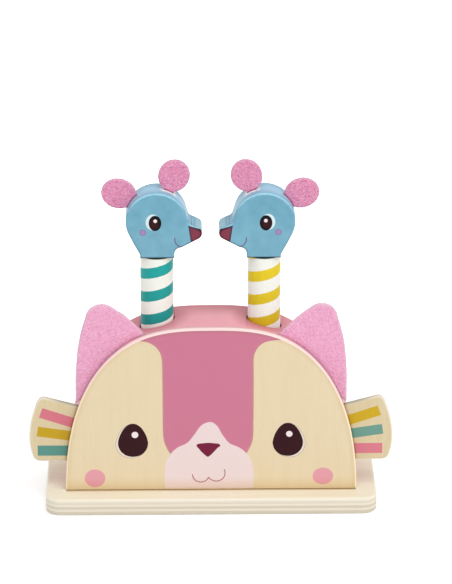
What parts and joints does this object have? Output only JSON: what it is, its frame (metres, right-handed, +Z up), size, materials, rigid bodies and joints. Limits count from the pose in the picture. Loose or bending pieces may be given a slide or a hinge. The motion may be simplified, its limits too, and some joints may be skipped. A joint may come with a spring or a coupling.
{
  "type": "pop up animal toy",
  "caption": "Wooden cat face on a board with mouse figures that stand in its crown and jump up when pressed down on sprung plungers.",
  "frame": {"origin": "middle of the base board's underside", "axes": "+Z up, -Y the way the cat's face looks, +X to the viewer's right as the picture shows it"},
  "size_m": [0.2454, 0.078, 0.2392],
  "materials": {
    "birch_plywood": "sanded and clear matt lacquered, plies showing at the edge",
    "printed_plywood": "cream tinted and printed face, satin lacquer, pale edge",
    "pink_painted_wood": "satin water based paint",
    "blue_painted_wood": "satin water based paint",
    "teal_striped_wood": "cream painted with a teal spiral stripe, satin",
    "yellow_striped_wood": "cream painted with a yellow spiral stripe, satin",
    "pale_pink_felt": "thick needled felt",
    "bright_pink_felt": "thick needled felt",
    "beech": "bare turned wood",
    "spring_steel": "drawn wire, zinc plated",
    "zinc_screw": "yellowish zinc plated"
  },
  "bodies": {
    "root": {"base_board": "birch_plywood", "cat_block": "pink_painted_wood", "front_panel": "printed_plywood", "left_cat_ear": "pale_pink_felt", "right_cat_ear": "pale_pink_felt", "left_whisker_fan": "printed_plywood", "right_whisker_fan": "printed_plywood", "base_screw_1": "zinc_screw", "base_screw_2": "zinc_screw", "base_screw_3": "zinc_screw", "base_screw_4": "zinc_screw"},
    "left_spring_body": {"left_spring": "spring_steel"},
    "left_plunger_body": {"left_plunger": "beech"},
    "left_mouse_body": {"left_mouse_head": "blue_painted_wood", "left_mouse_peg": "teal_striped_wood", "left_mouse_neck_pin": "beech", "left_mouse_back_ear": "bright_pink_felt", "left_mouse_crown_ear": "bright_pink_felt"},
    "right_spring_body": {"right_spring": "spring_steel"},
    "right_plunger_body": {"right_plunger": "beech"},
    "right_mouse_body": {"right_mouse_head": "blue_painted_wood", "right_mouse_peg": "yellow_striped_wood", "right_mouse_neck_pin": "beech", "right_mouse_back_ear": "bright_pink_felt", "right_mouse_crown_ear": "bright_pink_felt"}
  },
  "joints": [
    {"name": "left_mouse_turn", "type": "hinge", "parent": "root", "child": "left_spring_body", "pos_m": [-0.036, 0.003, 0], "axis": [0, 0, 1], "continuous": true},
    {"name": "left_press", "type": "slide", "parent": "left_spring_body", "child": "left_plunger_body", "axis": [0, 0, 1], "range_m": [-0.045, 0], "stiffness_N_per_m": 265, "springref_m": 0.0115, "deforming": ["left_spring"]},
    {"name": "left_lift", "type": "slide", "parent": "left_plunger_body", "child": "left_mouse_body", "axis": [0, 0, 1], "range_m": [0, 0.08]},
    {"name": "right_mouse_turn", "type": "hinge", "parent": "root", "child": "right_spring_body", "pos_m": [0.036, 0.003, 0], "axis": [0, 0, 1], "continuous": true},
    {"name": "right_press", "type": "slide", "parent": "right_spring_body", "child": "right_plunger_body", "axis": [0, 0, 1], "range_m": [-0.045, 0], "stiffness_N_per_m": 265, "springref_m": 0.0115, "deforming": ["right_spring"]},
    {"name": "right_lift", "type": "slide", "parent": "right_plunger_body", "child": "right_mouse_body", "axis": [0, 0, 1], "range_m": [0, 0.08]}
  ]
}
